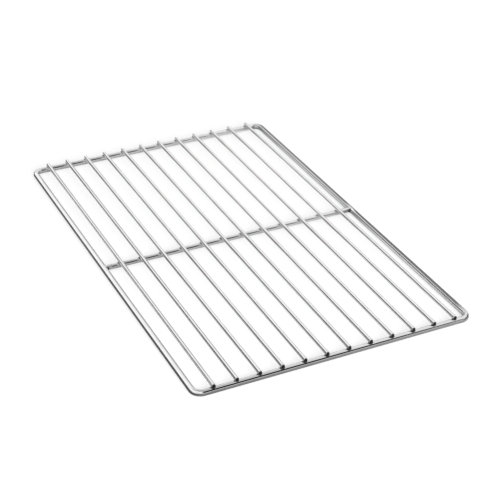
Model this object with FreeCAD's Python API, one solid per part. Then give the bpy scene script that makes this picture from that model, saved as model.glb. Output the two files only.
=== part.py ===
import FreeCAD, Part
import os

# Welded wire shelf rack for ovens that take the 1/1 gastronorm size.
# One bent frame wire and a crossbar carry a row of straight rods, welded on top of them.
# Millimetres. +X runs across the rods, +Y along them and +Z up.
# The origin lies under the rack's middle, on the plane that the rack rests on.

# Overall sizes, over the frame wire
rack_length = 530.0
rack_width = 325.0

# Wire diameters
frame_wire = 7.0
crossbar_wire = 6.0
rod_wire = 4.5

# Corner bends of the frame, as a radius on the wire's centre line
corner_bend = 10.0

# Row of rods: the outer ones keep this distance from the side wires, centre to centre,
# and the sheared ends stop short of the frame's outer edge and are deburred
rod_count = 12
outer_rod_gap = 19.3
rod_end_inset = 2.0
rod_end_chamfer = 0.4

# Welds: how deep a rod sinks into the wires that it crosses, how far the crossbar reaches
# round the frame's sides, and the leg and height of the fillet weld at that joint
rod_set_down = 0.2
crossbar_wrap = 1.5
weld_leg = 2.0
weld_height = 4.0

# Levels and centre lines that follow from the sizes above
seat_level = frame_wire
frame_axis_z = frame_wire / 2
crossbar_axis_z = seat_level - crossbar_wire / 2
rod_axis_z = seat_level - rod_set_down + rod_wire / 2
side_wire_x = (rack_width - frame_wire) / 2
side_wire_inner_x = rack_width / 2 - frame_wire
end_wire_y = (rack_length - frame_wire) / 2
first_rod_x = outer_rod_gap - side_wire_x
rod_pitch = -2 * first_rod_x / (rod_count - 1)
rod_length = rack_length - 2 * rod_end_inset
crossbar_end_x = side_wire_inner_x + crossbar_wrap

AXIS_X = FreeCAD.Vector(1, 0, 0)
AXIS_Y = FreeCAD.Vector(0, 1, 0)
AXIS_Z = FreeCAD.Vector(0, 0, 1)
BOTH_SIDES = (-1, 1)


def straight_wire(diameter, length, middle, axis):
    """Straight round wire of the given length, centred on a point."""
    return Part.makeCylinder(diameter / 2, length, middle - axis * (length / 2), axis)


def frame_end_wires():
    """The frame's two straight runs that the rods' ends lie on."""
    middles = [FreeCAD.Vector(0, side * end_wire_y, frame_axis_z) for side in BOTH_SIDES]
    return [straight_wire(frame_wire, rack_width, middle, AXIS_X) for middle in middles]


def frame_side_wires():
    """The frame's two straight runs that the crossbar is welded between."""
    middles = [FreeCAD.Vector(side * side_wire_x, 0, frame_axis_z) for side in BOTH_SIDES]
    return [straight_wire(frame_wire, rack_length, middle, AXIS_Y) for middle in middles]


def plain_crossbar():
    """The crossbar as cut to length, its top level with the frame's."""
    middle = FreeCAD.Vector(0, 0, crossbar_axis_z)
    return straight_wire(crossbar_wire, 2 * crossbar_end_x, middle, AXIS_X)


def crossbar_weld(side):
    """Fillet weld in front of and behind one end of the crossbar, flaring at 45 degrees to the frame."""
    weld_toe = side_wire_inner_x - weld_leg
    narrow = crossbar_wire / 3
    narrow_x = weld_toe - (crossbar_wire / 2 - narrow)
    wide = narrow + crossbar_end_x - narrow_x
    outline = ((narrow_x, -narrow), (crossbar_end_x, -wide), (crossbar_end_x, wide), (narrow_x, narrow))
    level = crossbar_axis_z - weld_height / 2
    points = [FreeCAD.Vector(side * x, y, level) for x, y in outline]
    return Part.Face(Part.makePolygon(points + points[:1])).extrude(AXIS_Z * weld_height)


def make_frame():
    """Wire bent round four corners: a circle swept along a rounded rectangle."""
    bend_x = side_wire_x - corner_bend
    bend_y = end_wire_y - corner_bend
    corners = ((-1, -1), (1, -1), (1, 1), (-1, 1), (-1, -1))
    bend_centres = [FreeCAD.Vector(x * bend_x, y * bend_y, frame_axis_z) for x, y in corners]
    path = Part.makePolygon(bend_centres).makeOffset2D(corner_bend)
    first_run = path.OrderedEdges[0]
    start = first_run.valueAt(first_run.FirstParameter)
    heading = first_run.tangentAt(first_run.FirstParameter)
    section = Part.Wire(Part.makeCircle(frame_wire / 2, start, heading))
    return path.makePipeShell([section], True, False)


def make_crossbar():
    """Crossbar with its welds, fitted to the round of the frame's sides."""
    welds = [crossbar_weld(side) for side in BOTH_SIDES]
    return plain_crossbar().fuse(welds).cut(frame_side_wires()).removeSplitter()


def make_rod():
    """Rod on the rack's middle line, with a seat where it sinks into each wire below it."""
    rod = straight_wire(rod_wire, rod_length, FreeCAD.Vector(0, 0, rod_axis_z), AXIS_Y)
    end_edges = [edge for edge in rod.Edges if edge.Closed]
    rod = rod.makeChamfer(rod_end_chamfer, end_edges)
    return rod.cut(frame_end_wires() + [plain_crossbar()])


def make_parts():
    """Every piece of the rack by name."""
    parts = {"frame": make_frame(), "crossbar": make_crossbar()}
    rod = make_rod()
    for index in range(rod_count):
        place = FreeCAD.Vector(first_rod_x + index * rod_pitch, 0, 0)
        parts["rod_%02d" % (index + 1)] = rod.translated(place)
    return parts


def main():
    os.makedirs("parts", exist_ok=True)
    for name, shape in make_parts().items():
        shape.exportStep("parts/%s.step" % name)


main()
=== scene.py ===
import math

import bmesh
import bpy
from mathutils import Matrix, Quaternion, Vector


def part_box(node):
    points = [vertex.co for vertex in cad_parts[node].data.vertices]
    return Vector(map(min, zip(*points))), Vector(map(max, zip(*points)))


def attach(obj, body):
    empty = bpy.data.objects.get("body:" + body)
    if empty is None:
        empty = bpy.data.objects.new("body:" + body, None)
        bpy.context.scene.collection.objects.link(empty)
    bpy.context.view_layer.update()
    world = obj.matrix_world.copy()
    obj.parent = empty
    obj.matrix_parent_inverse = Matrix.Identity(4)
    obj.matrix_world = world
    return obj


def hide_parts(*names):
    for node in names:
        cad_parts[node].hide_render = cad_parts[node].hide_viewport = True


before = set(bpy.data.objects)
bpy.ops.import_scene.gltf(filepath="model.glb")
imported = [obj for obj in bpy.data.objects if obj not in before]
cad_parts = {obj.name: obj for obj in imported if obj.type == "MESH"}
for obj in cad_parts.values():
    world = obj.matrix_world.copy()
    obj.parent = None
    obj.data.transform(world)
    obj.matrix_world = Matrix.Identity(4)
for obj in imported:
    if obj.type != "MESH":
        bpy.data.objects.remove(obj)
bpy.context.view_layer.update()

bl_info = {
    "name": "Oven Shelf Rack",
    "version": (1, 0, 0),
    "blender": (4, 5, 0),
    "location": "3D View > Sidebar > Rack",
    "description": "Dresses a welded wire oven shelf rack and sets its studio stage",
    "category": "Object",
}

BODY = "root"
WIRE_FINISH = "bright_drawn_steel"
# The weld finish carries painted shade: its dark colour stands for the shade where the wires cross
# and meet.
WELD_FINISH = "cleaned_weld"
ROD_NODES = sorted(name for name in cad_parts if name.startswith("rod_"))

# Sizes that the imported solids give, in metres
FRAME_LOW, FRAME_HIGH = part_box("frame")
BAR_LOW, BAR_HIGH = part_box("crossbar")
ROD_LOW, ROD_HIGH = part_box(ROD_NODES[0])
LAST_ROD_LOW, LAST_ROD_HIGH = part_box(ROD_NODES[-1])
FIRST_ROD_X = (ROD_LOW.x + ROD_HIGH.x) / 2
LAST_ROD_X = (LAST_ROD_LOW.x + LAST_ROD_HIGH.x) / 2
ROD_WIRE = 0.0045

# A hair that keeps the pieces inside the solids' box
HAIR = 0.000001

# How finely the wires are cut up: round them, along them and in the frame's bends
WIRE_SIDES = 48
ROD_SIDES = 32
ROD_RINGS = 128
BAR_RINGS = 96
RUN_CUTS = 40
BEND_STEPS = 24

# Weld nuggets: wires that each rod crosses, how far they sink in, and how uneven they are
WIRES_CROSSED = 3
NUGGET_SINK = 0.00005
NUGGET_UNEVENNESS = 0.00025
NUGGET_STRETCH = 1.25
NUGGET_TURN = 0.5
NUGGET_SWELL = (0.88, 1.12)

# Noise scales of the drawing lines, across the wire and along it
LINES_ACROSS = 5200.0
LINES_ALONG = 45.0

# Mirrored table, a painted reflection: the floor's tone that the steel mirrors is painted by place,
# darker on the left, under and outside the side wires, towards the front, and in painted shade
# strips just in front of the crosswise wires; where its tone changes in X or Y, in metres, and its
# tones there
TABLE_ACROSS = (-0.15, 0.20)
TABLE_LEFT_EDGE = (-0.166, -0.156)
TABLE_LEFT_TONE = 0.14
TABLE_RIGHT_EDGE = (0.138, 0.150)
TABLE_RIGHT_RUN = (-0.25, 0.05)
TABLE_RIGHT_TONES = (0.95, 0.34)
TABLE_FRONT_RUN = (-0.29, 0.0)
TABLE_FRONT_TONES = (0.62, 1.75)
TABLE_BACK_RUN = (0.0, 0.27)
BAY_LENGTH = 0.2615
BAY_EDGE = (0.015, 0.06)
BAY_FRONT_EDGE = (-0.262, -0.24)

# Distances from the middle over which the floor goes white
FLOOR_FADE = (0.35, 0.7)
FLOOR_REACH = 12.0

# Flag in front: its plane, its extents in X and Z, and where it thins out
FLAG_Y = -0.75
FLAG_X = (-0.35, 0.75)
FLAG_Z = (0.05, 1.55)
FLAG_LEFT_EDGE = (-0.30, -0.08)
FLAG_RIGHT_EDGE = (0.42, 0.72)
FLAG_TOP_EDGE = (1.05, 1.50)
FLAG_FOOT_EDGE = (0.10, 0.22)

# Net overhead: its level, its extents in X and Y, and where it thins out
NET_Z = 1.0
NET_X = (-0.40, 0.58)
NET_Y = (-0.64, 0.66)
NET_RIGHT_EDGE = (0.10, 0.56)
NET_FRONT_EDGE = (-0.62, -0.28)
NET_BACK_EDGE = (0.46, 0.64)

# Narrow cards along the wires, painted reflections that only the steel sees, dark beside the right
# side wire and white beside the left: foot, front top and back top in X and Z, then both ends in Y
DARK_CARD = ((0.1662, 0.0), (0.1575, 0.0135), (0.1575, 0.0135), (-0.256, 0.285))
DARK_FLAP = ((0.1575, 0.0135), (0.1543, 0.0135), (0.1572, 0.0135), (-0.256, 0.12))
WHITE_CARD = ((-0.1655, 0.0076), (-0.1650, 0.0140), (-0.1650, 0.0140), (-0.285, 0.285))
FENCE = ((-0.150, 0.004), (-0.150, 0.0130), (-0.150, 0.0150), (-0.25, 0.262))

# Fences of the first rods, painted dark reflections that only the steel sees: how many, how far to
# the rod's right, and foot and tops in Z
FENCED_RODS = 2
ROD_FENCE_GAP = 0.009
ROD_FENCE_Z = (0.0092, 0.0150, 0.0175)

# How far the narrow cards thin out at their ends
CARD_FADE = 0.024

# Notch in the cards at the crossbar: its middle in Y, how it opens from there, and its foot
NOTCH_Y = 0.003
NOTCH_EDGE = (0.004, 0.012)
NOTCH_FOOT = (0.0078, 0.0092)

# Directions in which the studio's light changes, as parts of the line of sight
HORIZON_RUN = (-0.1, 0.45)
HORIZON_LEFT_START = 0.25
GAIN_ACROSS = (-0.45, 0.45)
WALL_X = (0.50, 0.72)
WALL_Y = (0.25, 0.50)
WALL_Z = (0.30, 0.60)

# Low light in front: its width and height, and where it stands
LOW_LIGHT_SIZE = (1.2, 0.5)
LOW_LIGHT_PLACE = (-0.2, -1.7, 0.60)

WHITE = (1.0, 1.0, 1.0, 1.0)
SENSOR_WIDTH = 36.0
CAMERA_REACH = 100.0


def length(name, description, default):
    """A size that the sidebar shows as a length."""
    return bpy.props.FloatProperty(name=name, description=description, default=default, min=0.0,
                                   precision=5, subtype="DISTANCE", unit="LENGTH")


def level(name, description, default):
    """A strength or share that the sidebar shows as a number."""
    return bpy.props.FloatProperty(name=name, description=description, default=default, min=0.0,
                                   soft_max=2.0)


def roughness(name, description, default):
    """A roughness that the sidebar shows as a slider."""
    return bpy.props.FloatProperty(name=name, description=description, default=default, min=0.0,
                                   max=1.0, subtype="FACTOR")


def colour(name, description, default):
    """A colour that the sidebar shows as a swatch."""
    return bpy.props.FloatVectorProperty(name=name, description=description, default=default,
                                         size=3, subtype="COLOR", min=0.0, max=1.0)


def point(name, description, default):
    """A point in space that the sidebar shows as three lengths."""
    return bpy.props.FloatVectorProperty(name=name, description=description, default=default,
                                         size=3, subtype="XYZ", unit="LENGTH", precision=5)


class RackSizes(bpy.types.PropertyGroup):
    """Sizes of the rack's wires and welds."""

    rack_length: length("Rack length", "Over the frame wire, along the rods",
                        FRAME_HIGH.y - FRAME_LOW.y - HAIR)
    rack_width: length("Rack width", "Over the frame wire, across the rods",
                       FRAME_HIGH.x - FRAME_LOW.x - HAIR)
    frame_wire: length("Frame wire", "Diameter of the bent frame wire",
                       FRAME_HIGH.z - FRAME_LOW.z - HAIR)
    rest_level: length("Rest level", "Height of the frame wire's underside", FRAME_LOW.z + HAIR / 2)
    corner_bend: length("Corner bend", "Bend radius on the frame wire's centre line", 0.010)
    crossbar_wire: length("Crossbar wire", "Diameter of the crossbar", 0.006)
    crossbar_length: length("Crossbar length", "Over the crossbar's ends", BAR_HIGH.x - BAR_LOW.x)
    rod_wire: length("Rod wire", "Diameter of the rods", ROD_WIRE)
    rod_length: length("Rod length", "Over a rod's cut ends", ROD_HIGH.y - ROD_LOW.y)
    rod_count: bpy.props.IntProperty(name="Rods", description="How many rods lie side by side",
                                     default=len(ROD_NODES), min=2)
    rod_pitch: length("Rod pitch", "From one rod to the next, centre to centre",
                      (LAST_ROD_X - FIRST_ROD_X) / (len(ROD_NODES) - 1))
    rod_level: length("Rod level", "Height of the rods' centre lines",
                      ROD_HIGH.z - ROD_WIRE / 2 - HAIR)
    end_rounding: length("End rounding", "Radius of the deburred edge on a rod's cut end", 0.0004)
    rod_bow: length("Rod bow", "Most that a rod bows sideways at its middle", 0.00012)
    nugget_reach: length("Nugget reach", "How far a weld nugget reaches from where two wires cross",
                         0.0023)
    nugget_height: length("Nugget height", "Half the height of a weld nugget", 0.0008)
    fillet_leg: length("Fillet leg", "How far the crossbar's fillet weld reaches along each wire",
                       0.002)
    seed: bpy.props.IntProperty(name="Seed", default=7, min=0,
                                description="Seed of the small differences between like pieces")


class RackFinish(bpy.types.PropertyGroup):
    """Colours and gloss of the steel."""

    steel: colour("Steel", "Colour of the bright drawn steel", (0.80, 0.801, 0.804))
    worn_steel: colour("Worn steel", "Colour of the wire's duller patches", (0.73, 0.731, 0.734))
    # The sheared wire ends are painted near black: a duller cut face, darkened further as painted
    # shade for the dark spots at the rods' ends.
    cut_steel_and_shade: colour("Cut steel", "Colour of the rods' sheared ends", (0.08, 0.08, 0.081))
    # The weld colours are dark partly as the weld metal's own duller, heat-tinted tone and partly
    # as painted shade where the wires cross and where the crossbar meets the frame.
    weld_steel_and_shade: colour("Weld", "Colour of the cleaned weld metal", (0.11, 0.109, 0.107))
    weld_tint_and_shade: colour("Weld tint", "Faint heat tint left on the welds", (0.07, 0.068, 0.065))
    gloss_low: roughness("Least roughness", "Roughness of the wire's brightest lines", 0.07)
    gloss_high: roughness("Most roughness", "Roughness of the wire's dullest lines", 0.14)


class RackStage(bpy.types.PropertyGroup):
    """Camera, floor and light of the studio."""

    camera_place: point("Camera", "Where the camera stands", (-0.562076, -1.253020, 0.808575))
    camera_aim: point("Aim", "Point on the floor that the camera looks at",
                      (0.009909, -0.028645, 0.0))
    camera_roll: bpy.props.FloatProperty(name="Roll", subtype="ANGLE", unit="ROTATION",
                                         description="Turn of the camera about its line of sight",
                                         default=math.radians(-0.289))
    lens: bpy.props.FloatProperty(name="Lens", description="Focal length on a 36 mm sensor",
                                  unit="CAMERA", default=97.6144)
    floor_white: level("Floor white", "Part of the floor's white that keeps no shadow", 0.668)
    floor_shade: level("Floor shade", "Part of the floor's white that shadows take away", 0.30)
    mirror_share: level("Mirrored white", "Share of the floor's white that the steel mirrors", 0.05)
    # The table's tones are painted reflection: how pale the floor looks to the steel, painted by
    # place, with painted shade in front of the crosswise wires.
    table_left: level("Table, left", "How pale the steel sees the floor on the left", 0.22)
    table_right: level("Table, right", "How pale the steel sees the floor on the right", 0.42)
    table_back: level("Table, back", "How much paler the floor is at the back", 1.2)
    table_bays: level("Table, bays", "How much paler the floor is between the crosswise wires", 1.6)
    flag_tone: level("Flag", "Tone of the black flag in front", 0.0)
    net_tone: level("Net", "Tone of the grey net over the left", 0.38)
    # The cards and fences are painted reflections that only the steel sees: dark lines, and a white
    # glowing one on the left.
    dark_card: level("Dark card", "Tone of the narrow card beside the right side wire", 0.22)
    white_card: level("White card", "Tone of the narrow card beside the left side wire", 1.25)
    fence: level("Fence", "Tone of the low fence inside the left side wire", 0.42)
    rod_fence: level("Rod fence", "Tone of the low fences beside the first two rods", 0.12)
    horizon_far: level("Far horizon", "Light at the horizon on the left and behind", 0.07)
    horizon_near: level("Near horizon", "Light at the horizon in front", 0.55)
    horizon_low: level("Horizon, foot",
                       "Rise of the line of sight where the studio begins to brighten", 0.16)
    horizon_high: level("Horizon, top", "Rise of the line of sight where the studio is white", 0.34)
    horizon_left: level("Horizon, left", "How much higher the dim horizon stands on the left", 2.0)
    horizon_tilt: level("Horizon, right", "How much lower the dim horizon stands on the right",
                        0.25)
    low_light: bpy.props.FloatProperty(name="Low light", default=42.0, min=0.0, unit="POWER",
                                       description="Power of the low light in front")
    wall_tone: level("Right wall", "Light on the dim wall far on the right", 0.04)
    light_left: level("Light, left", "Light overhead on the left", 1.28)
    light_right: level("Light, right", "Light overhead on the right", 0.97)


# Node trees


def add(tree, kind, inputs=None, **settings):
    """A node with its settings, and with its inputs fed by values or other nodes' outputs."""
    node = tree.nodes.new(kind)
    for key, value in settings.items():
        setattr(node, key, value)
    for key, value in (inputs or {}).items():
        if isinstance(value, bpy.types.NodeSocket):
            tree.links.new(value, node.inputs[key])
        else:
            node.inputs[key].default_value = value
    return node


def math_of(tree, operation, first, second=0.0, clamp=False):
    """Output of a Math node."""
    inputs = {0: first, 1: second}
    return add(tree, "ShaderNodeMath", inputs, operation=operation, use_clamp=clamp).outputs[0]


def product_of(tree, *factors):
    """Product of several values."""
    result = factors[0]
    for factor in factors[1:]:
        result = math_of(tree, "MULTIPLY", result, factor)
    return result


def vector_of(tree, x=0.0, y=0.0, z=0.0):
    """Output of a Combine XYZ node."""
    return add(tree, "ShaderNodeCombineXYZ", {"X": x, "Y": y, "Z": z}).outputs[0]


def parts_of(tree, vector):
    """A vector's X, Y and Z outputs."""
    return add(tree, "ShaderNodeSeparateXYZ", {0: vector}).outputs


def span(tree, value, low, high, to_low, to_high):
    """Value mapped from one range to another, held at its ends."""
    inputs = {"Value": value, "From Min": low, "From Max": high, "To Min": to_low,
              "To Max": to_high}
    return add(tree, "ShaderNodeMapRange", inputs).outputs[0]


def mix_of(tree, share, first, second):
    """Value between two values."""
    inputs = {"Factor": share, "A": first, "B": second}
    return add(tree, "ShaderNodeMix", inputs, data_type="FLOAT").outputs[0]


def new_tree(name, inputs):
    """Geometry tree with named inputs, and the outputs of its group input node."""
    tree = bpy.data.node_groups.new(name, "GeometryNodeTree")
    for label, kind in inputs:
        tree.interface.new_socket(label, in_out="INPUT", socket_type="NodeSocket" + kind)
    tree.interface.new_socket("Geometry", in_out="OUTPUT", socket_type="NodeSocketGeometry")
    return tree, tree.nodes.new("NodeGroupInput").outputs


def end_tree(tree, geometry, finish):
    """Smooths, realizes and paints the geometry, and gives it to the tree's output."""
    smooth = add(tree, "GeometryNodeSetShadeSmooth", {"Geometry": geometry})
    real = add(tree, "GeometryNodeRealizeInstances", {"Geometry": smooth.outputs[0]})
    painted = add(tree, "GeometryNodeSetMaterial",
                  {"Geometry": real.outputs[0], "Material": finish})
    add(tree, "NodeGroupOutput", {"Geometry": painted.outputs[0]})
    return tree


def store(tree, geometry, name, value):
    """Geometry that carries a named value."""
    inputs = {"Geometry": geometry, "Name": name, "Value": value}
    return add(tree, "GeometryNodeStoreNamedAttribute", inputs).outputs[0]


def lift_to(tree, geometry, height):
    """Geometry moved up to a height."""
    inputs = {"Geometry": geometry, "Translation": vector_of(tree, z=height)}
    return add(tree, "GeometryNodeTransform", inputs).outputs[0]


def grow(name, tree, values):
    """Piece with the plain mesh that a geometry tree makes from these input values."""
    piece = bpy.data.objects.new(name, bpy.data.meshes.new(name))
    bpy.context.scene.collection.objects.link(piece)
    modifier = piece.modifiers.new(name, "NODES")
    modifier.node_group = tree
    for item in tree.interface.items_tree:
        if item.in_out == "INPUT":
            modifier[item.identifier] = values[item.name]
    bpy.context.view_layer.update()
    evaluated = piece.evaluated_get(bpy.context.evaluated_depsgraph_get())
    mesh = bpy.data.meshes.new_from_object(evaluated)
    piece.modifiers.clear()
    piece.data = mesh
    mesh.name = name
    if not mesh.polygons:
        raise RuntimeError("%s came out empty" % name)
    return piece


def settle(piece, *nodes):
    """The piece rides on the rack and stands for these solids, which it hides."""
    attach(piece, BODY)
    if nodes:
        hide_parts(*nodes)


# Shapes


def frame_tree():
    """Wire swept round a rectangle with bent corners."""
    tree, given = new_tree("frame_wire", [
        ("Rack Length", "Float"), ("Rack Width", "Float"), ("Wire Diameter", "Float"),
        ("Corner Bend", "Float"), ("Rest Level", "Float"), ("Bend Steps", "Int"),
        ("Run Cuts", "Int"), ("Wire Sides", "Int"), ("Finish", "Material")])
    radius = math_of(tree, "DIVIDE", given["Wire Diameter"], 2.0)
    across = math_of(tree, "SUBTRACT", given["Rack Width"], given["Wire Diameter"])
    along = math_of(tree, "SUBTRACT", given["Rack Length"], given["Wire Diameter"])
    corners = add(tree, "GeometryNodeCurvePrimitiveQuadrilateral",
                  {"Width": across, "Height": along})
    bent = add(tree, "GeometryNodeFilletCurve",
               {"Curve": corners.outputs[0], "Radius": given["Corner Bend"]}, mode="POLY")
    tree.links.new(given["Bend Steps"], bent.inputs["Count"])

    # The last point of each bend starts a straight run, which gets cuts of its own
    index = add(tree, "GeometryNodeInputIndex").outputs[0]
    bend_points = math_of(tree, "ADD", given["Bend Steps"], 1.0)
    in_bend = math_of(tree, "MODULO", math_of(tree, "ADD", index, 1.0), bend_points)
    starts_run = math_of(tree, "LESS_THAN", in_bend, 0.5)
    cuts = math_of(tree, "MULTIPLY", starts_run, given["Run Cuts"])
    path = add(tree, "GeometryNodeSubdivideCurve", {"Curve": bent.outputs[0], "Cuts": cuts})

    # The wire's heading tells the finish which way its drawing lines run
    heading = parts_of(tree, add(tree, "GeometryNodeInputTangent").outputs[0])["X"]
    lay = store(tree, path.outputs[0], "lay", math_of(tree, "MULTIPLY", heading, heading))
    ring = add(tree, "GeometryNodeCurvePrimitiveCircle",
               {"Resolution": given["Wire Sides"], "Radius": radius})
    swept = add(tree, "GeometryNodeCurveToMesh", {"Curve": lay, "Profile Curve": ring.outputs[0]})
    axis_level = math_of(tree, "ADD", radius, given["Rest Level"])
    raised = lift_to(tree, swept.outputs[0], axis_level)
    return end_tree(tree, raised, given["Finish"])


def wire_rod(tree, wire_length, radius, rounding, rings, sides, axis):
    """Straight rod through the origin, its rings close together at the rounded ends."""
    half = math_of(tree, "DIVIDE", wire_length, 2.0)
    far = vector_of(tree, **{axis: half})
    near = vector_of(tree, **{axis: math_of(tree, "MULTIPLY", half, -1.0)})
    line = add(tree, "GeometryNodeCurvePrimitiveLine", {"Start": near, "End": far})
    spread = add(tree, "GeometryNodeResampleCurve", {"Curve": line.outputs[0], "Count": rings})
    share = add(tree, "GeometryNodeSplineParameter").outputs["Factor"]
    swing = math_of(tree, "COSINE", math_of(tree, "MULTIPLY", share, math.pi))
    place = product_of(tree, swing, half, -1.0)
    packed = add(tree, "GeometryNodeSetPosition",
                 {"Geometry": spread.outputs[0], "Position": vector_of(tree, **{axis: place})})

    # Towards its ends the rod narrows along a quarter circle
    position = add(tree, "GeometryNodeInputPosition").outputs[0]
    reach = parts_of(tree, position)[axis.upper()]
    from_end = math_of(tree, "SUBTRACT", half, math_of(tree, "ABSOLUTE", reach))
    inside = math_of(tree, "DIVIDE", from_end, rounding, clamp=True)
    outside = math_of(tree, "SUBTRACT", 1.0, inside)
    squared = math_of(tree, "SUBTRACT", 1.0, math_of(tree, "MULTIPLY", outside, outside))
    missing = math_of(tree, "SUBTRACT", 1.0, math_of(tree, "SQRT", squared))
    lost = math_of(tree, "MULTIPLY", missing, math_of(tree, "DIVIDE", rounding, radius))
    ring = add(tree, "GeometryNodeCurvePrimitiveCircle", {"Resolution": sides, "Radius": radius})
    rod = add(tree, "GeometryNodeCurveToMesh",
              {"Curve": packed.outputs[0], "Profile Curve": ring.outputs[0],
               "Scale": math_of(tree, "SUBTRACT", 1.0, lost), "Fill Caps": True})
    sheared = math_of(tree, "LESS_THAN", from_end, 0.00002)
    return store(tree, rod.outputs[0], "cut_end", sheared)


def rod_tree():
    """Row of straight rods side by side, each bowed a little."""
    tree, given = new_tree("rod_row", [
        ("Rod Count", "Int"), ("Rod Pitch", "Float"), ("Rod Length", "Float"),
        ("Rod Diameter", "Float"), ("Rod Level", "Float"), ("End Rounding", "Float"),
        ("Rod Bow", "Float"), ("Rings", "Int"), ("Wire Sides", "Int"), ("Seed", "Int"),
        ("Finish", "Material")])
    radius = math_of(tree, "DIVIDE", given["Rod Diameter"], 2.0)
    rod = wire_rod(tree, given["Rod Length"], radius, given["End Rounding"], given["Rings"],
                   given["Wire Sides"], "y")
    gaps = math_of(tree, "SUBTRACT", given["Rod Count"], 1.0)
    first = product_of(tree, gaps, given["Rod Pitch"], -0.5)
    row = add(tree, "GeometryNodeMeshLine",
              {"Count": given["Rod Count"],
               "Start Location": vector_of(tree, x=first, z=given["Rod Level"]),
               "Offset": vector_of(tree, x=given["Rod Pitch"])})
    chance = add(tree, "FunctionNodeRandomValue", {2: -1.0, 3: 1.0, "Seed": given["Seed"]})
    bowed = store(tree, row.outputs[0], "bow", chance.outputs[1])
    rods = add(tree, "GeometryNodeInstanceOnPoints", {"Points": bowed, "Instance": rod})
    real = add(tree, "GeometryNodeRealizeInstances", {"Geometry": rods.outputs[0]})

    # The bow is greatest at a rod's middle and nothing at its ends
    place = parts_of(tree, add(tree, "GeometryNodeInputPosition").outputs[0])
    twice = math_of(tree, "MULTIPLY", place["Y"], 2.0)
    share = math_of(tree, "DIVIDE", twice, given["Rod Length"])
    sag = math_of(tree, "SUBTRACT", 1.0, math_of(tree, "MULTIPLY", share, share))
    amount = add(tree, "GeometryNodeInputNamedAttribute", {"Name": "bow"}).outputs[0]
    shift = product_of(tree, amount, sag, given["Rod Bow"])
    moved = add(tree, "GeometryNodeSetPosition",
                {"Geometry": real.outputs[0], "Offset": vector_of(tree, x=shift)})
    return end_tree(tree, moved.outputs[0], given["Finish"])


def crossbar_tree():
    """Straight crossbar below the rods."""
    tree, given = new_tree("crossbar_wire", [
        ("Length", "Float"), ("Diameter", "Float"), ("Level", "Float"), ("End Rounding", "Float"),
        ("Rings", "Int"), ("Wire Sides", "Int"), ("Finish", "Material")])
    radius = math_of(tree, "DIVIDE", given["Diameter"], 2.0)
    bar = wire_rod(tree, given["Length"], radius, given["End Rounding"], given["Rings"],
                   given["Wire Sides"], "x")
    raised = lift_to(tree, store(tree, bar, "lay", 1.0), given["Level"])
    return end_tree(tree, raised, given["Finish"])


def nugget_tree():
    """Flattened weld nugget wherever a rod crosses a wire, each a little different."""
    tree, given = new_tree("rod_weld_nuggets", [
        ("Rod Count", "Int"), ("Wires Crossed", "Int"), ("Row Width", "Float"),
        ("Row Length", "Float"), ("Seat Level", "Float"), ("Nugget Reach", "Float"),
        ("Nugget Height", "Float"), ("Unevenness", "Float"), ("Seed", "Int"),
        ("Finish", "Material")])
    crossings = add(tree, "GeometryNodeMeshGrid",
                    {"Size X": given["Row Width"], "Size Y": given["Row Length"],
                     "Vertices X": given["Rod Count"], "Vertices Y": given["Wires Crossed"]})
    raised = lift_to(tree, crossings.outputs[0], given["Seat Level"])
    ball = add(tree, "GeometryNodeMeshUVSphere", {"Segments": 24, "Rings": 14, "Radius": 1.0})
    turn = add(tree, "FunctionNodeRandomValue",
               {2: -NUGGET_TURN, 3: NUGGET_TURN, "Seed": given["Seed"]}).outputs[1]
    swell = add(tree, "FunctionNodeRandomValue",
                {2: NUGGET_SWELL[0], 3: NUGGET_SWELL[1], "Seed": given["Seed"]}).outputs[1]
    wide = math_of(tree, "MULTIPLY", given["Nugget Reach"], swell)
    stretched = math_of(tree, "MULTIPLY", wide, NUGGET_STRETCH)
    nuggets = add(tree, "GeometryNodeInstanceOnPoints",
                  {"Points": raised, "Instance": ball.outputs[0],
                   "Scale": vector_of(tree, stretched, wide, given["Nugget Height"]),
                   "Rotation": vector_of(tree, z=turn)})
    real = add(tree, "GeometryNodeRealizeInstances", {"Geometry": nuggets.outputs[0]})
    ripple = add(tree, "ShaderNodeTexNoise", {"Scale": 900.0, "Detail": 2.0}).outputs[0]
    push = math_of(tree, "MULTIPLY", math_of(tree, "SUBTRACT", ripple, 0.5), given["Unevenness"])
    normal = add(tree, "GeometryNodeInputNormal").outputs[0]
    out = add(tree, "ShaderNodeVectorMath", {0: normal}, operation="SCALE")
    tree.links.new(push, out.inputs["Scale"])
    uneven = add(tree, "GeometryNodeSetPosition",
                 {"Geometry": real.outputs[0], "Offset": out.outputs[0]})
    return end_tree(tree, uneven.outputs[0], given["Finish"])


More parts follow.
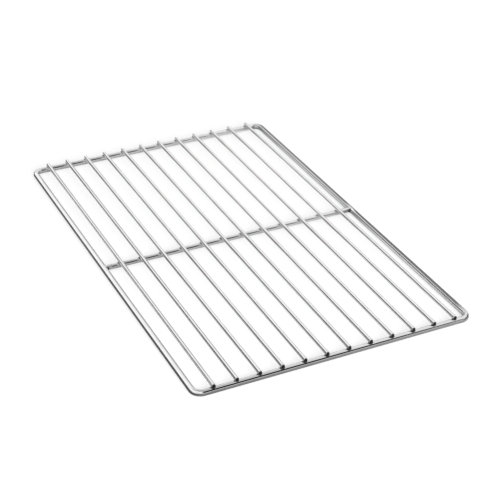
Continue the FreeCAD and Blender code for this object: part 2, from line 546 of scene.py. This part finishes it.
def fillet_weld_mesh(sizes, finish):
    """Two closed fillet welds, one round each end of the crossbar, drawn out along the frame."""
    frame_r = sizes.frame_wire / 2
    bar_r = sizes.crossbar_wire / 2
    frame_x = sizes.rack_width / 2 - frame_r
    bar_z = sizes.frame_wire - bar_r
    steps, rows = 64, 9

    # Shares of the wires' radii and of the weld's leg that shape the bead
    rim, core, depth = 0.97, 0.5, 0.25
    least_leg, flank_leg, flank_spread = 0.45, 0.55, 1.15
    hollow = 0.42

    mesh = bmesh.new()
    painted_lit_side = mesh.verts.layers.float.new("painted_lit_side")

    def on_frame(z):
        lift = max(-rim * frame_r, min(rim * frame_r, z - frame_r))
        return frame_x - math.sqrt(frame_r ** 2 - lift ** 2), frame_r + lift

    for side in (-1, 1):
        rings = []
        for step in range(steps):
            angle = 2 * math.pi * step / steps
            across, up = math.cos(angle), math.sin(angle)
            flank = across * across
            wobble = 1 + 0.07 * math.sin(5 * angle + side) + 0.04 * math.sin(11 * angle)
            leg = sizes.fillet_leg * (least_leg + flank_leg * flank) * wobble
            spread = sizes.fillet_leg * flank_spread * flank * wobble
            corner_x, corner_z = on_frame(bar_z + bar_r * up)
            toe = Vector((corner_x - leg, bar_r * rim * across, bar_z + bar_r * rim * up))
            root_z = corner_z if abs(up) > 0.8 else bar_z + bar_r * up
            root = Vector((corner_x, bar_r * across, root_z))
            end_x, end_z = on_frame(bar_z + (bar_r + spread) * up)
            end = Vector((end_x + 0.0002, (bar_r + spread) * across, end_z))
            bulge = Vector((-0.0001, 0.0002 * across, 0.00018 * up))
            root = root.lerp((toe + end) / 2, hollow) + bulge
            ring = []
            for row in range(rows):
                t = row / (rows - 1)
                ring.append(toe * (1 - t) ** 2 + root * (2 * t * (1 - t)) + end * t ** 2)

            # The last point of each ring lies inside the wires and closes the bead
            ring.append(Vector((frame_x - depth * frame_r, core * bar_r * across,
                                bar_z - 0.0004 + core * bar_r * up)))
            points = [mesh.verts.new((side * p.x, p.y, p.z)) for p in ring]
            # Each bead's top and back are marked as lit and take the bright steel colour, its
            # underside and front the dark weld colour: painted light and painted shade by which way
            # the bead faces.
            for vertex in points:
                vertex[painted_lit_side] = max(0.0, min(1.0, 2.5 * (up + 0.85 * across - 0.1)))
            rings.append(points)
        for step in range(steps):
            ring, following = rings[step], rings[(step + 1) % steps]
            for row in range(rows + 1):
                onward = (row + 1) % (rows + 1)
                corners = (ring[row], ring[onward], following[onward], following[row])
                mesh.faces.new(corners).smooth = True
    bmesh.ops.recalc_face_normals(mesh, faces=mesh.faces)
    made = bpy.data.meshes.new("crossbar_welds")
    mesh.to_mesh(made)
    mesh.free()
    made.materials.append(finish)
    return made


# Finishes


def shader_of(name):
    """Fresh node material with its shader."""
    finish = bpy.data.materials.get(name)
    if finish:
        bpy.data.materials.remove(finish)
    finish = bpy.data.materials.new(name)
    finish.use_nodes = True
    return finish, finish.node_tree, finish.node_tree.nodes["Principled BSDF"]


def object_place(tree):
    """Place on the piece."""
    return add(tree, "ShaderNodeTexCoord").outputs["Object"]


def attribute_of(tree, name):
    """Value that the mesh carries."""
    return add(tree, "ShaderNodeAttribute", attribute_name=name).outputs["Fac"]


def noise_of(tree, place, scale, detail):
    """Value of a noise texture."""
    inputs = {"Vector": place, "Scale": scale, "Detail": detail}
    return add(tree, "ShaderNodeTexNoise", inputs).outputs[0]


def drawn_lines(tree, place, scale, seed):
    """Noise drawn out along one direction, as the die leaves it on the wire."""
    turned = add(tree, "ShaderNodeMapping",
                 {"Vector": place, "Scale": scale, "Location": (seed, seed, seed)})
    return noise_of(tree, turned.outputs[0], 1.0, 3.0)


def blend_colour(tree, share, first, second):
    """Colour between two colours."""
    mixed = add(tree, "ShaderNodeMix", {"Factor": share}, data_type="RGBA")
    for key, value in (("A", first), ("B", second)):
        socket = [s for s in mixed.inputs if s.name == key and s.type == "RGBA"][0]
        if isinstance(value, bpy.types.NodeSocket):
            tree.links.new(value, socket)
        else:
            socket.default_value = (*value, 1.0)
    return [s for s in mixed.outputs if s.type == "RGBA"][0]


def bright_steel(look):
    """Bright drawn wire: fine lines along it, soft mottling, and sheared ends painted near black, a
    duller cut face darkened further as painted shade.
    """
    _, tree, shader = shader_of(WIRE_FINISH)
    place = object_place(tree)
    lay = attribute_of(tree, "lay")
    sheared = attribute_of(tree, "cut_end")
    along_y = drawn_lines(tree, place, (LINES_ACROSS, LINES_ALONG, LINES_ACROSS), 3.0)
    along_x = drawn_lines(tree, place, (LINES_ALONG, LINES_ACROSS, LINES_ACROSS), 9.0)
    lines = mix_of(tree, lay, along_y, along_x)
    mottle = noise_of(tree, place, 70.0, 4.0)
    pits = noise_of(tree, place, 2600.0, 2.0)
    wear = span(tree, mottle, 0.35, 0.75, 0.0, 1.0)
    wire_colour = blend_colour(tree, wear, look.steel, look.worn_steel)
    # The sheared ends take the near-black colour: a duller cut face with painted shade on it.
    torn = span(tree, pits, 0.35, 0.65, 0.0, 1.0)
    torn_steel_and_shade = tuple(0.7 * c for c in look.cut_steel_and_shade)
    cut_and_shade_colour = blend_colour(tree, torn, look.cut_steel_and_shade, torn_steel_and_shade)
    base_colour = blend_colour(tree, sheared, wire_colour, cut_and_shade_colour)
    tree.links.new(base_colour, shader.inputs["Base Color"])
    fine = math_of(tree, "MULTIPLY", lines, 0.6)
    broad = math_of(tree, "MULTIPLY", mottle, 0.4)
    gloss = span(tree, math_of(tree, "ADD", fine, broad), 0.35, 0.65,
                 look.gloss_low, look.gloss_high)
    tree.links.new(mix_of(tree, sheared, gloss, 0.5), shader.inputs["Roughness"])
    shader.inputs["Metallic"].default_value = 1.0
    height = math_of(tree, "ADD", lines, math_of(tree, "MULTIPLY", pits, 0.25))
    bump = add(tree, "ShaderNodeBump", {"Strength": 0.05, "Distance": 0.00004, "Height": height})
    tree.links.new(bump.outputs[0], shader.inputs["Normal"])


def weld_steel_and_shade(look):
    """Weld metal, duller than the wire and tinted by heat, its dark colour painted shade where the
    wires cross and meet; the side that the mesh marks as lit takes the bright steel colour as
    painted light and is less rough.
    """
    _, tree, shader = shader_of(WELD_FINISH)
    place = object_place(tree)
    tint = noise_of(tree, place, 420.0, 3.0)
    grain = noise_of(tree, place, 2400.0, 3.0)
    tinted = span(tree, tint, 0.4, 0.7, 0.0, 1.0)
    weld_and_shade_colour = blend_colour(tree, tinted, look.weld_steel_and_shade, look.weld_tint_and_shade)
    painted_lit_side = attribute_of(tree, "painted_lit_side")
    base_colour = blend_colour(tree, painted_lit_side, weld_and_shade_colour, look.steel)
    tree.links.new(base_colour, shader.inputs["Base Color"])
    dull = span(tree, grain, 0.3, 0.7, 0.24, 0.42)
    kept = math_of(tree, "SUBTRACT", 1.0, math_of(tree, "MULTIPLY", painted_lit_side, 0.6))
    tree.links.new(math_of(tree, "MULTIPLY", dull, kept), shader.inputs["Roughness"])
    shader.inputs["Metallic"].default_value = 1.0
    bump = add(tree, "ShaderNodeBump", {"Strength": 0.25, "Distance": 0.0001, "Height": grain})
    tree.links.new(bump.outputs[0], shader.inputs["Normal"])


# Stage


def bare_finish(name):
    """Fresh node material without a shader."""
    finish, tree, shader = shader_of(name)
    tree.nodes.remove(shader)
    return finish, tree


def show(tree, shader):
    """The shader becomes the material's surface."""
    tree.links.new(shader.outputs[0], tree.nodes["Material Output"].inputs["Surface"])


def show_veil(tree, thick, tone):
    """Cloth or paper of one tone where it is thick, and clear where it is thin."""
    cloth = add(tree, "ShaderNodeEmission", {"Color": WHITE, "Strength": tone})
    clear = add(tree, "ShaderNodeBsdfTransparent")
    show(tree, add(tree, "ShaderNodeMixShader",
                   {0: thick, 1: clear.outputs[0], 2: cloth.outputs[0]}))


def floor_finish(look):
    """White floor with the rack's shadow to the camera, and to the steel a grey table whose tone is
    painted by place, as painted reflection and painted shade.
    """
    finish, tree = bare_finish("studio_floor")
    rays = add(tree, "ShaderNodeLightPath").outputs
    position = object_place(tree)
    place = parts_of(tree, position)
    across = span(tree, place["X"], *TABLE_ACROSS, look.table_left, look.table_right)
    left = span(tree, place["X"], *TABLE_LEFT_EDGE, TABLE_LEFT_TONE, 1.0)
    right_tone = span(tree, place["Y"], *TABLE_RIGHT_RUN, *TABLE_RIGHT_TONES)
    right = span(tree, place["X"], *TABLE_RIGHT_EDGE, 1.0, right_tone)
    side = product_of(tree, left, right)
    near = span(tree, place["Y"], *TABLE_FRONT_RUN, *TABLE_FRONT_TONES)
    far = span(tree, place["Y"], *TABLE_BACK_RUN, 1.0, look.table_back)
    forward = math_of(tree, "MULTIPLY", place["Y"], -1.0)
    # Strips just in front of each crosswise wire stay darker than the bays: painted shade in what
    # the steel mirrors.
    gap = math_of(tree, "FLOORED_MODULO", forward, BAY_LENGTH)
    clear = product_of(tree, span(tree, gap, *BAY_EDGE, 0.0, 1.0),
                       span(tree, place["Y"], *BAY_FRONT_EDGE, 0.0, 1.0))
    bays = span(tree, clear, 0.0, 1.0, 1.0, look.table_bays)
    tone = product_of(tree, across, side, near, far, bays)
    table = add(tree, "ShaderNodeBsdfDiffuse", {"Color": vector_of(tree, tone, tone, tone)})
    shadowed = add(tree, "ShaderNodeBsdfDiffuse", {"Color": (look.floor_shade,) * 3 + (1.0,)})
    away = add(tree, "ShaderNodeVectorMath", {0: position}, operation="LENGTH").outputs["Value"]
    glow = span(tree, away, *FLOOR_FADE, look.floor_white, 1.0)
    white = add(tree, "ShaderNodeEmission", {"Color": WHITE, "Strength": glow})
    seen = add(tree, "ShaderNodeAddShader", {0: shadowed.outputs[0], 1: white.outputs[0]})
    mirrored = math_of(tree, "ADD", rays["Is Glossy Ray"], rays["Is Transmission Ray"])
    faint = math_of(tree, "MULTIPLY", mirrored, look.mirror_share)
    share = math_of(tree, "ADD", rays["Is Camera Ray"], faint, clamp=True)
    show(tree, add(tree, "ShaderNodeMixShader",
                   {0: share, 1: table.outputs[0], 2: seen.outputs[0]}))
    return finish


def flag_finish(look):
    """Black cloth of the flag, thinning out towards its edges."""
    finish, tree = bare_finish("flag_cloth")
    place = parts_of(tree, object_place(tree))
    left = span(tree, place["X"], *FLAG_LEFT_EDGE, 0.0, 1.0)
    right = span(tree, place["X"], *FLAG_RIGHT_EDGE, 1.0, 0.0)
    top = span(tree, place["Z"], *FLAG_TOP_EDGE, 1.0, 0.0)
    foot = span(tree, place["Z"], *FLAG_FOOT_EDGE, 0.0, 1.0)
    show_veil(tree, product_of(tree, left, right, top, foot), look.flag_tone)
    return finish


def net_finish(look):
    """Grey net over the rack's left, thinning out to the right and at its two ends."""
    finish, tree = bare_finish("net_cloth")
    place = parts_of(tree, object_place(tree))
    right = span(tree, place["X"], *NET_RIGHT_EDGE, 1.0, 0.0)
    front = span(tree, place["Y"], *NET_FRONT_EDGE, 0.0, 1.0)
    back = span(tree, place["Y"], *NET_BACK_EDGE, 1.0, 0.0)
    show_veil(tree, product_of(tree, right, front, back), look.net_tone)
    return finish


def card_finish(name, tone, ends, notched, from_left):
    """Narrow card, a painted reflection that only the steel sees, which thins out at its ends, and
    at the crossbar if it is notched.

    A card that is made for one side is clear to rays that don't come from its left.
    """
    finish, tree = bare_finish(name)
    place = parts_of(tree, object_place(tree))
    front, back = ends
    thick = product_of(tree, span(tree, place["Y"], front, front + CARD_FADE, 0.0, 1.0),
                       span(tree, place["Y"], back - CARD_FADE, back, 1.0, 0.0))
    if notched:
        offset = math_of(tree, "SUBTRACT", place["Y"], NOTCH_Y)
        beside = span(tree, math_of(tree, "ABSOLUTE", offset), *NOTCH_EDGE, 0.0, 1.0)
        below = span(tree, place["Z"], *NOTCH_FOOT, 1.0, 0.0)
        thick = product_of(tree, thick, math_of(tree, "MAXIMUM", beside, below))
    if from_left:
        behind = add(tree, "ShaderNodeNewGeometry").outputs["Backfacing"]
        thick = product_of(tree, thick, behind)
    show_veil(tree, thick, tone)
    return finish


def studio_world(look):
    """White studio overhead, brightest on the left, and dim near the horizon."""
    world = bpy.data.worlds.new("studio")
    world.use_nodes = True
    tree = world.node_tree
    tree.nodes.clear()
    to_camera = add(tree, "ShaderNodeLightPath").outputs["Is Camera Ray"]
    part = parts_of(tree, add(tree, "ShaderNodeTexCoord").outputs["Generated"])
    horizon = span(tree, part["Y"], *HORIZON_RUN, look.horizon_near, look.horizon_far)
    past_start = math_of(tree, "ADD", part["X"], HORIZON_LEFT_START)
    leftward = math_of(tree, "MINIMUM", past_start, 0.0)
    lift = math_of(tree, "MULTIPLY", leftward, look.horizon_left)
    rightward = math_of(tree, "MAXIMUM", part["X"], 0.0)
    tilt = math_of(tree, "MULTIPLY", rightward, look.horizon_tilt)
    rise = math_of(tree, "ADD", part["Z"], math_of(tree, "ADD", lift, tilt))
    climb = span(tree, rise, look.horizon_low, look.horizon_high, 0.0, 1.0)
    brightness = mix_of(tree, climb, horizon, 1.0)
    gain = span(tree, part["X"], *GAIN_ACROSS, look.light_left, look.light_right)
    wall = product_of(tree, span(tree, part["X"], *WALL_X, 0.0, 1.0),
                      span(tree, part["Z"], *WALL_Z, 1.0, 0.0),
                      span(tree, part["Y"], *WALL_Y, 1.0, 0.0))
    dimmed = span(tree, wall, 0.0, 1.0, 1.0, look.wall_tone)
    light = product_of(tree, brightness, gain, dimmed)
    lit = math_of(tree, "MULTIPLY", light, math_of(tree, "SUBTRACT", 1.0, to_camera))
    shown = math_of(tree, "ADD", lit, to_camera)
    back = add(tree, "ShaderNodeBackground",
               {"Color": vector_of(tree, shown, shown, shown), "Strength": 1.0})
    out = add(tree, "ShaderNodeOutputWorld")
    tree.links.new(back.outputs[0], out.inputs["Surface"])
    return world


def stage_sheet(context, name, corners, finish):
    """Flat four-cornered sheet that belongs to the stage."""
    mesh = bpy.data.meshes.new(name)
    mesh.from_pydata(corners, [], [(0, 1, 2, 3)])
    mesh.materials.append(finish)
    sheet = bpy.data.objects.new(name, mesh)
    context.scene.collection.objects.link(sheet)
    return sheet


def corners_of(first, second, place):
    """Four corners of a rectangle that spans two ranges, with a function that places them."""
    (a, b), (c, d) = first, second
    return [place(a, c), place(b, c), place(b, d), place(a, d)]


def side_card(context, name, shape, tone, notched=False, from_left=False):
    """Narrow card that stands along a wire, from its foot to its top in X and Z."""
    foot, front_top, back_top, ends = shape
    front, back = ends
    corners = [(foot[0], front, foot[1]), (foot[0], back, foot[1]),
               (back_top[0], back, back_top[1]), (front_top[0], front, front_top[1])]
    return stage_sheet(context, name, corners, card_finish(name, tone, ends, notched, from_left))


def mirror_sheets(context, look):
    """Sheets that only the steel's mirror rays see: flag, cards, fences and net. The cards and
    fences stand millimetres from the wires as painted reflections, dark and white lines in the
    steel's mirror image.
    """
    flag_corners = corners_of(FLAG_X, FLAG_Z, lambda x, z: (x, FLAG_Y, z))
    sheets = [stage_sheet(context, "flag", flag_corners, flag_finish(look)),
              side_card(context, "dark_card", DARK_CARD, look.dark_card, notched=True),
              side_card(context, "dark_flap", DARK_FLAP, look.dark_card, notched=True),
              side_card(context, "white_card", WHITE_CARD, look.white_card),
              side_card(context, "fence", FENCE, look.fence, notched=True, from_left=True)]
    for number in range(FENCED_RODS):
        x = FIRST_ROD_X + number * context.scene.rack_sizes.rod_pitch + ROD_FENCE_GAP
        shape = [(x, z) for z in ROD_FENCE_Z] + [FENCE[-1]]
        sheets.append(side_card(context, "rod_fence_%d" % (number + 1), shape, look.rod_fence,
                                notched=True, from_left=True))
    net_corners = corners_of(NET_X, NET_Y, lambda x, y: (x, y, NET_Z))
    sheets.append(stage_sheet(context, "net", net_corners, net_finish(look)))
    for sheet in sheets:
        sheet.visible_camera = False
        sheet.visible_diffuse = False
        sheet.visible_shadow = False


def low_light(context, look):
    """Soft low light in front that throws the shadow of the crosswise wires back."""
    data = bpy.data.lights.new("low_light", "AREA")
    data.shape = "RECTANGLE"
    data.size, data.size_y = LOW_LIGHT_SIZE
    data.energy = look.low_light
    lamp = bpy.data.objects.new("low_light", data)
    context.scene.collection.objects.link(lamp)
    lamp.location = LOW_LIGHT_PLACE
    lamp.rotation_mode = "QUATERNION"
    lamp.rotation_quaternion = (-lamp.location).to_track_quat("-Z", "Y")
    lamp.visible_camera = False
    lamp.visible_glossy = False


def camera_of(context, look):
    """Camera that looks down on the rack from the front left."""
    data = bpy.data.cameras.new("camera")
    data.sensor_width = SENSOR_WIDTH
    data.lens = look.lens
    data.clip_end = CAMERA_REACH
    camera = bpy.data.objects.new("camera", data)
    context.scene.collection.objects.link(camera)
    camera.location = look.camera_place
    sight = Vector(look.camera_aim) - Vector(look.camera_place)
    roll = Quaternion((0, 0, 1), look.camera_roll)
    camera.rotation_mode = "QUATERNION"
    camera.rotation_quaternion = sight.to_track_quat("-Z", "Y") @ roll
    return camera


# Operators


class RACK_OT_finishes(bpy.types.Operator):
    """Mix the steel finishes that the pieces share"""

    bl_idname = "rack.finishes"
    bl_label = "Mix Finishes"

    def execute(self, context):
        look = context.scene.rack_finish
        bright_steel(look)
        weld_steel_and_shade(look)
        return {"FINISHED"}


class RACK_OT_frame(bpy.types.Operator):
    """Sweep the frame wire round its four bends"""

    bl_idname = "rack.frame"
    bl_label = "Make Frame Wire"

    def execute(self, context):
        sizes = context.scene.rack_sizes
        piece = grow("frame_wire", frame_tree(), {
            "Rack Length": sizes.rack_length, "Rack Width": sizes.rack_width,
            "Wire Diameter": sizes.frame_wire, "Corner Bend": sizes.corner_bend,
            "Rest Level": sizes.rest_level, "Bend Steps": BEND_STEPS, "Run Cuts": RUN_CUTS,
            "Wire Sides": WIRE_SIDES, "Finish": bpy.data.materials[WIRE_FINISH]})
        settle(piece, "frame")
        return {"FINISHED"}


class RACK_OT_crossbar(bpy.types.Operator):
    """Make the crossbar below the rods"""

    bl_idname = "rack.crossbar"
    bl_label = "Make Crossbar"

    def execute(self, context):
        sizes = context.scene.rack_sizes
        piece = grow("crossbar_wire", crossbar_tree(), {
            "Length": sizes.crossbar_length, "Diameter": sizes.crossbar_wire,
            "Level": sizes.frame_wire - sizes.crossbar_wire / 2,
            "End Rounding": sizes.end_rounding, "Rings": BAR_RINGS, "Wire Sides": WIRE_SIDES,
            "Finish": bpy.data.materials[WIRE_FINISH]})
        settle(piece, "crossbar")
        return {"FINISHED"}


class RACK_OT_rods(bpy.types.Operator):
    """Lay the row of straight rods on the frame and the crossbar"""

    bl_idname = "rack.rods"
    bl_label = "Make Rods"

    def execute(self, context):
        sizes = context.scene.rack_sizes
        piece = grow("rods", rod_tree(), {
            "Rod Count": sizes.rod_count, "Rod Pitch": sizes.rod_pitch,
            "Rod Length": sizes.rod_length, "Rod Diameter": sizes.rod_wire,
            "Rod Level": sizes.rod_level, "End Rounding": sizes.end_rounding,
            "Rod Bow": sizes.rod_bow, "Rings": ROD_RINGS, "Wire Sides": ROD_SIDES,
            "Seed": sizes.seed, "Finish": bpy.data.materials[WIRE_FINISH]})
        settle(piece, *ROD_NODES)
        return {"FINISHED"}


class RACK_OT_rod_welds(bpy.types.Operator):
    """Set a weld nugget wherever a rod crosses a wire"""

    bl_idname = "rack.rod_welds"
    bl_label = "Make Rod Welds"

    def execute(self, context):
        sizes = context.scene.rack_sizes
        # The nuggets take the weld finish, whose dark colour is painted shade at the crossings.
        piece = grow("rod_welds", nugget_tree(), {
            "Rod Count": sizes.rod_count, "Wires Crossed": WIRES_CROSSED,
            "Row Width": sizes.rod_pitch * (sizes.rod_count - 1),
            "Row Length": sizes.rack_length - sizes.frame_wire,
            "Seat Level": sizes.frame_wire - NUGGET_SINK, "Nugget Reach": sizes.nugget_reach,
            "Nugget Height": sizes.nugget_height, "Unevenness": NUGGET_UNEVENNESS,
            "Seed": sizes.seed, "Finish": bpy.data.materials[WELD_FINISH]})
        settle(piece)
        return {"FINISHED"}


class RACK_OT_crossbar_welds(bpy.types.Operator):
    """Weld the crossbar's ends to the frame's sides"""

    bl_idname = "rack.crossbar_welds"
    bl_label = "Make Crossbar Welds"

    def execute(self, context):
        mesh = fillet_weld_mesh(context.scene.rack_sizes, bpy.data.materials[WELD_FINISH])
        piece = bpy.data.objects.new("crossbar_welds", mesh)
        context.scene.collection.objects.link(piece)
        settle(piece)
        return {"FINISHED"}


class RACK_OT_stage(bpy.types.Operator):
    """Set the floor, the studio light and the camera"""

    bl_idname = "rack.stage"
    bl_label = "Set Stage"

    def execute(self, context):
        look = context.scene.rack_stage
        reach = (-FLOOR_REACH, FLOOR_REACH)
        floor_corners = corners_of(reach, reach, lambda x, y: (x, y, 0.0))
        stage_sheet(context, "floor", floor_corners, floor_finish(look))
        mirror_sheets(context, look)
        context.scene.world = studio_world(look)
        low_light(context, look)
        context.scene.camera = camera_of(context, look)
        context.scene.view_settings.view_transform = "Standard"
        return {"FINISHED"}


class RACK_PT_panel(bpy.types.Panel):
    """Sizes, finishes and steps of the rack"""

    bl_idname = "RACK_PT_panel"
    bl_label = "Oven Shelf Rack"
    bl_space_type = "VIEW_3D"
    bl_region_type = "UI"
    bl_category = "Rack"

    def draw(self, context):
        for step in STEPS:
            self.layout.operator(step.bl_idname)
        for name in GROUPS:
            group = getattr(context.scene, name)
            box = self.layout.box()
            for key in group.__annotations__:
                box.prop(group, key)


GROUPS = {"rack_sizes": RackSizes, "rack_finish": RackFinish, "rack_stage": RackStage}
STEPS = (RACK_OT_finishes, RACK_OT_frame, RACK_OT_crossbar, RACK_OT_rods, RACK_OT_rod_welds,
         RACK_OT_crossbar_welds, RACK_OT_stage)


def register():
    for name, group in GROUPS.items():
        bpy.utils.register_class(group)
        setattr(bpy.types.Scene, name, bpy.props.PointerProperty(type=group))
    for step in STEPS:
        bpy.utils.register_class(step)
    bpy.utils.register_class(RACK_PT_panel)


def unregister():
    bpy.utils.unregister_class(RACK_PT_panel)
    for step in reversed(STEPS):
        bpy.utils.unregister_class(step)
    for name, group in GROUPS.items():
        delattr(bpy.types.Scene, name)
        bpy.utils.unregister_class(group)


def main():
    register()
    bpy.ops.rack.finishes()
    bpy.ops.rack.frame()
    bpy.ops.rack.crossbar()
    bpy.ops.rack.rods()
    bpy.ops.rack.rod_welds()
    bpy.ops.rack.crossbar_welds()
    bpy.ops.rack.stage()


if __name__ == "__main__":
    main()
